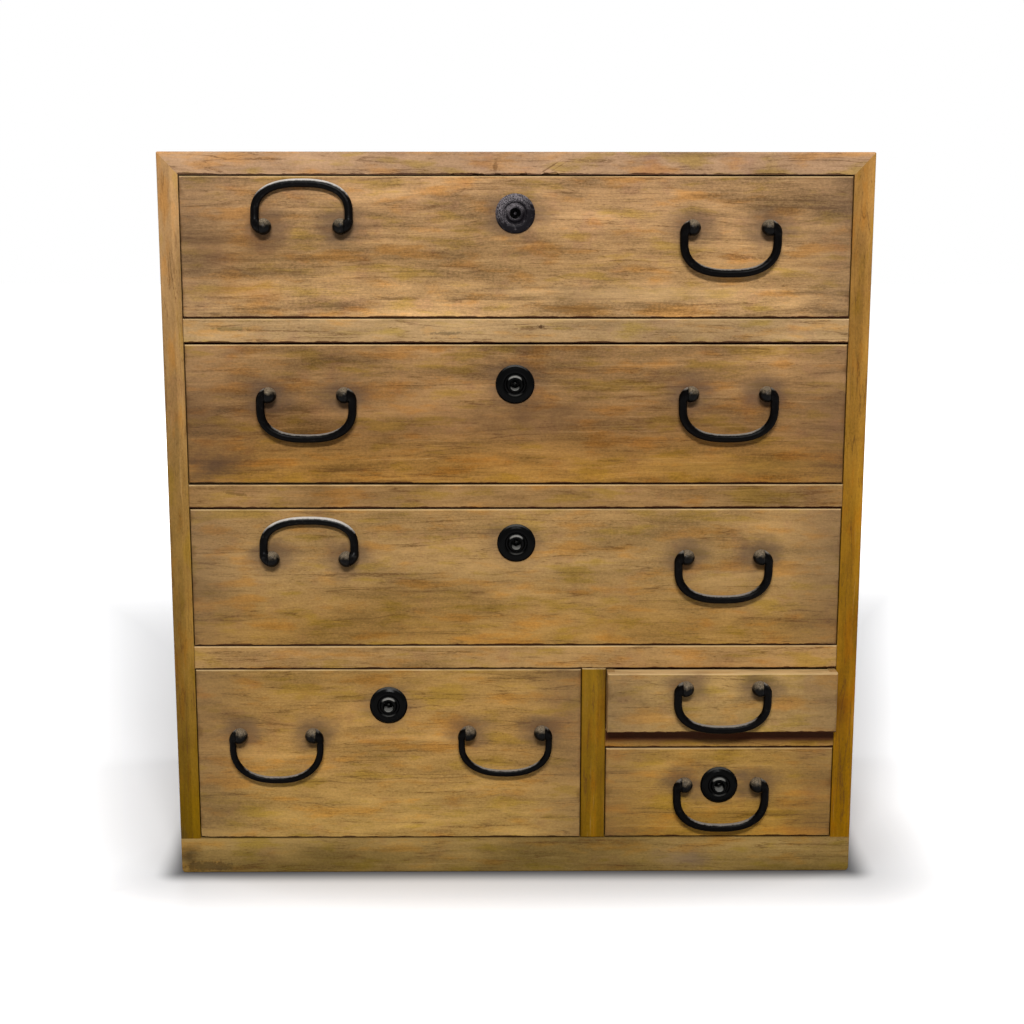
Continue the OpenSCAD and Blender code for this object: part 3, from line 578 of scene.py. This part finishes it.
def bail_rings(arm, grip, drop, power):
    """Rings (x, z, radius, way out) of a bail below its pivot line, from the right end to the left one."""
    curl = []
    for i in range(CURL_STEPS + 1):
        f = i / CURL_STEPS
        span = arm + (2 * FACE_R - arm) * f ** 1.4
        reach = CURL_EDGE + span / 2
        out = (math.cos(math.pi / 2 * f), math.sin(math.pi / 2 * f))
        curl.append((FACE_X + reach * out[0], reach * out[1] - FACE_R - CURL_EDGE, span / 2, out))
    # The end is slightly rounded
    x, z, r, out = curl.pop()
    curl += [(x + 0.0005, z, r, out), (x + 0.0002, z, r * 0.985, out), (x, z, r * 0.94, out)]

    def point(turn):
        c, sn = math.cos(turn), max(0.0, math.sin(turn))
        return Vector(((FACE_X + CURL_EDGE + arm / 2) * math.copysign(abs(c) ** (2 / power), c),
                       -BOW_TOP - (drop - BOW_TOP) * sn ** (2 / power)))

    bow = []
    for i in range(BOW_STEPS + 1):
        turn = math.pi * i / BOW_STEPS
        at = point(turn)
        run = (point(min(turn + 0.03, math.pi)) - point(max(turn - 0.03, 0.0))).normalized()
        bow.append((at.x, at.y, arm / 2 + (grip - arm) / 2 * math.sin(turn) ** 2, (-run.y, run.x)))
    return curl[::-1] + bow + [(-x, z, r, (-out[0], out[1])) for x, z, r, out in curl]


def skin(mesh, rings):
    """Joins rings of points with faces and closes both ends."""
    made = [[mesh.verts.new(point) for point in ring] for ring in rings]
    count = len(made[0])
    for a, b in zip(made, made[1:]):
        for j in range(count):
            mesh.faces.new((a[j], a[(j + 1) % count], b[(j + 1) % count], b[j]))
    mesh.faces.new(made[0][::-1])
    mesh.faces.new(made[-1])


def rod(mesh, rings, seed):
    """A hand-forged bar, a little flattened by the hammer, kept inside its true radius."""
    def ring(x, z, r, out):
        for j in range(ROD_SIDES):
            turn = 2 * math.pi * j / ROD_SIDES
            about = math.cos(turn) * 1.2 + math.sin(turn) * 0.7
            dent = noise.noise(Vector((x * 70 + seed, z * 70, about)))
            size = r * (0.965 - 0.012 * math.cos(4 * turn) + 0.02 * dent)
            across = size * math.cos(turn)
            yield x + across * out[0], size * math.sin(turn), z + across * out[1]
    skin(mesh, [list(ring(*item)) for item in rings])


def turned(mesh, profile, centre, axis, side=1, steps=40, seed=None):
    """Turns (distance along the axis, radius) round a line along X or Y. A seed makes it uneven."""
    rings = []
    for a, r in profile:
        ring = []
        for j in range(steps):
            turn = 2 * math.pi * j / steps
            flat = Vector((0, r * math.cos(turn), r * math.sin(turn)))
            if seed is not None:
                dent = noise.noise(Vector((a * 150 + seed, flat.y * 150, flat.z * 150)))
                flat *= 1 - 0.025 * (0.5 + dent)
            point = Vector((side * a, flat.y, flat.z)) if axis == "x" else Vector((flat.y, a, flat.z))
            ring.append(centre + point)
        rings.append(ring)
    skin(mesh, rings)


def box(mesh, low, high):
    """A plain block between two corners."""
    corners = [[x, y, z] for y in (low[1], high[1]) for x, z in
               ((low[0], low[2]), (high[0], low[2]), (high[0], high[2]), (low[0], high[2]))]
    skin(mesh, [corners[:4], corners[4:]])


def add_piece(name, made, node, body, material, move=None):
    """Puts a finished mesh in the place of a node, on its body."""
    bmesh.ops.recalc_face_normals(made, faces=made.faces)
    if move:
        made.transform(move)
    mesh = bpy.data.meshes.new(name)
    made.to_mesh(mesh)
    made.free()
    for face in mesh.polygons:
        face.use_smooth = True
    mesh.set_sharp_from_angle(angle=SHARP)
    mesh.materials.append(material)
    piece = bpy.data.objects.new(name, mesh)
    scene.collection.objects.link(piece)
    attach(piece, body)
    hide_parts(node)


def add_bail(n, k, name):
    """A bail with its turned-in pins, hanging or folded up."""
    arm, grip, power = SLIM_FORM if n == 3 else BAIL_FORM
    drop = DROP + DROP_STRAY[n][k]
    made = bmesh.new()
    rod(made, bail_rings(arm, grip, drop, power), seed=n * 7.3 + k * 3.1)
    pin = [(-PIN_L, PIN_D / 2 * 0.9), (0.0005 - PIN_L, PIN_D / 2), (EYE_GAP + 0.003, PIN_D / 2)]
    for side in (-1, 1):
        turned(made, pin, Vector((side * (FACE_X - EYE_GAP), 0, 0)), "x", side, steps=24)
    lean = math.asin((STANDOFF - grip / 2 - REST_GAP) / drop)
    move = Euler((math.pi - lean if (n, k) in FLIPPED else 0.0, 0, 0)).to_matrix().to_4x4()
    move.translation = handle(n, k)
    material = BAIL
    if (n, k) in FLIPPED:
        # Folded up, it gets a painted highlight along its upper edge
        material = iron(name + "_iron", LACQUER, srgb(218, 212, 204), rough=0.28, cover=0.9, low=0.40,
                        high=0.82, patina=0.02, mottle=0.35, specular=0.04,
                        highlight_above=handle(n, k).z + 0.012)
    add_piece(name + "_forged", made, name, name, material, move)


def add_posts(n):
    """The round heads with their necks, collars, shanks and clinched legs."""
    made = bmesh.new()
    r = HEAD_D / 2
    start = math.acos(HEAD_FLAT / r)
    arc = [start + (math.pi - start) * i / HEAD_STEPS for i in range(1, HEAD_STEPS)]
    head = [(HEAD_FLAT - BORE_L, BORE_R), (HEAD_FLAT, BORE_R), (HEAD_FLAT, r * math.sin(start) - 0.0003)]
    head += [(r * math.cos(turn), r * math.sin(turn)) for turn in arc] + [(-r, 0.0001)]
    neck = [(0.004, NECK_R), (STANDOFF - 0.001, NECK_R), (STANDOFF - 0.0001, COLLAR_R),
            (STANDOFF, COLLAR_R)]
    back = STANDOFF + FRONT_T
    shank = [(0.006, SHANK_R), (back + LEG_T, SHANK_R)]
    leg_low = Vector((-LEG_W / 2, back, -LEG_L / 2))
    leg_high = Vector((LEG_W / 2, back + LEG_T, LEG_L / 2))
    for k, side, at in posts(n):
        turned(made, head, at, "x", side, steps=48, seed=n + k * 3.1 + side)
        turned(made, neck, at, "y")
        turned(made, shank, at, "y", steps=24)
        box(made, at + leg_low, at + leg_high)
    d = DRAWERS[n]
    add_piece(d + "_posts_forged", made, d + "_posts", d, HEADS)


for n, drawer in enumerate(DRAWERS):
    add_posts(n)
    for k in range(len(STRAY[n])):
        word = "" if len(STRAY[n]) == 1 else ("left_", "right_")[k]
        add_bail(n, k, f"{drawer}_{word}bail")


# Camera, whose focal length is so many pixels of a picture this wide
FOCAL_LENGTH = 1797
PICTURE_WIDTH = 1024
camera = bpy.data.objects.new("camera", bpy.data.cameras.new("camera"))
camera.data.sensor_width = 36
camera.data.lens = camera.data.sensor_width * FOCAL_LENGTH / PICTURE_WIDTH
camera.location = (-0.0239, -2.1048, 0.7937)
camera.rotation_euler = [math.radians(v) for v in (78.702, -0.053, -0.569)]
scene.collection.objects.link(camera)
scene.camera = camera


def add_floor(reach):
    """A pale floor that keeps the chest's shadow, with painted shade round it and where the chest touches
    it, and is plain white to the camera further out.
    """
    mesh = bpy.data.meshes.new("floor")
    mesh.from_pydata([(-reach, -reach, 0), (reach, -reach, 0), (reach, reach, 0), (-reach, reach, 0)], [],
                     [(0, 1, 2, 3)])
    s = Shader("floor")
    place = s.add("TexCoord").outputs["Object"]
    x, y, _ = s.split(place)
    # How far a point lies outside the footprint
    flat = s.vector_math("ABSOLUTE", place)
    flat = s.vector_math("SUBTRACT", flat, (HALF_W, HALF_D, 0.0))
    away = s.length(s.vector_math("MAXIMUM", flat, (0, 0, 0)))
    # The shadow spreads backwards, so the white begins further out there, leaving painted shade round the
    # real shadow
    behind = s.math("MAXIMUM", s.plus(y, HALF_D), 0.0)
    beside = s.minus(s.math("ABSOLUTE", x), s.math("MULTIPLY_ADD", behind, 0.19, HALF_W))
    beside = s.math("DIVIDE", beside, s.math("MULTIPLY_ADD", behind, 0.3, 1.0))
    # The painted shade is wider at the left
    beside = s.times(beside, s.spread(x, -0.2, 0.2, 1.0, 1.7))
    before = s.minus(FRONT, y)
    paths = s.add("LightPath").outputs
    seen = s.math("MAXIMUM", paths["Is Camera Ray"], paths["Is Glossy Ray"])
    seen = s.math("MAXIMUM", seen, paths["Is Transmission Ray"])
    # The floor is white, with painted shade where the chest nearly touches it, and throws less light back
    # than it shows
    contact_shade, bare, bounce = (0.14, 0.14, 0.145, 1), (0.77, 0.77, 0.78, 1), (0.42, 0.42, 0.43, 1)
    tint = s.mix(s.spread(away, -0.002, 0.034), contact_shade, bare)
    tint = s.mix(seen, bounce, tint)
    # Where the glow to the camera is held back, near the chest, beside it and behind it, the floor stays
    # grey as painted shade
    glow = s.math("MAXIMUM", s.spread(beside, -0.03, 0.32), s.spread(before, 0.0, 0.18))
    glow = s.math("MINIMUM", glow, s.spread(away, 0.0, 0.27))
    glow = s.math("MAXIMUM", glow, s.math("POWER", s.spread(behind, 0.6, 1.9), 2.0))
    glow = s.plus(s.times(glow, 0.95), s.spread(away, 0.0, 0.05, 0.0, 0.05))
    mesh.materials.append(s.finish(Base_Color=tint, Roughness=0.9, Specular_IOR_Level=0.1,
                                   Emission_Color=(1, 1, 1, 1), Emission_Strength=s.times(glow, seen)))
    floor = bpy.data.objects.new("floor", mesh)
    scene.collection.objects.link(floor)


def add_world(lit, seen):
    """A plain white room: lit is its level on the object, seen what the camera and gloss see."""
    world = bpy.data.worlds.new("world")
    world.use_nodes = True
    scene.world = world
    tree = world.node_tree
    paths = tree.nodes.new("ShaderNodeLightPath").outputs
    share = paths["Is Camera Ray"]
    for other in ("Is Glossy Ray", "Is Transmission Ray"):
        either = tree.nodes.new("ShaderNodeMath")
        either.operation = "MAXIMUM"
        tree.links.new(share, either.inputs[0])
        tree.links.new(paths[other], either.inputs[1])
        share = either.outputs[0]
    level = tree.nodes.new("ShaderNodeMapRange")
    tree.links.new(share, level.inputs["Value"])
    level.inputs["To Min"].default_value = lit
    level.inputs["To Max"].default_value = seen
    background = tree.nodes["Background"]
    tree.links.new(level.outputs[0], background.inputs["Strength"])
    background.inputs["Color"].default_value = (1, 1, 1, 1)


def lamp(name, place, aim, size, watts):
    """A rectangular lamp at a place, turned towards its aim."""
    light = bpy.data.lights.new(name, "AREA")
    light.shape = "RECTANGLE"
    light.size, light.size_y = size
    light.energy = watts
    thing = bpy.data.objects.new(name, light)
    thing.location = place
    thing.rotation_euler = (Vector(aim) - Vector(place)).to_track_quat("-Z", "Y").to_euler()
    scene.collection.objects.link(thing)


add_floor(reach=9)
add_world(lit=0.09, seen=1.0)
lamp("key", (0.0, -2.9, 2.15), (0, -0.2, 0.40), (1.1, 0.3), 87)
lamp("top", (0.0, -0.75, 2.7), (0, -0.3, 0.4), (2.0, 0.9), 14)
lamp("rear", (-0.5, 3.2, 1.7), (0, 0.2, 0.4), (1.6, 1.6), 46)
for side in (-1, 1):
    lamp("side", (side * 3.0, 0.7, 1.5), (0, 0.1, 0.4), (1.2, 1.2), 30)

scene.view_settings.view_transform = "Standard"
